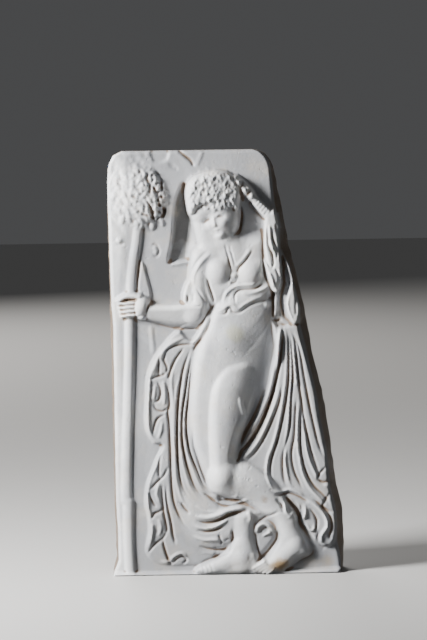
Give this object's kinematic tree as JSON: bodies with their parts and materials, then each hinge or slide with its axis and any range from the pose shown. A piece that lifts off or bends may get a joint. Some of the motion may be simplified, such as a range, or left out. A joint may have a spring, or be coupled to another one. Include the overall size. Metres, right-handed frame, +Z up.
{
  "type": "marble relief plaque",
  "caption": "Small tapering marble slab carved in low relief with a dancing maenad in blown drapery who holds a leaf-topped staff.",
  "frame": {"origin": "middle of the slab's box at the level of its foot", "axes": "+Z up along the slab's height, -Y out of the carved face, +X to the viewer's right"},
  "size_m": [0.155, 0.034, 0.28],
  "materials": {
    "marble": "honed white marble, worn smooth, with brown staining in the cuts"
  },
  "bodies": {
    "root": {"relief_plaque": "marble"}
  },
  "joints": []
}
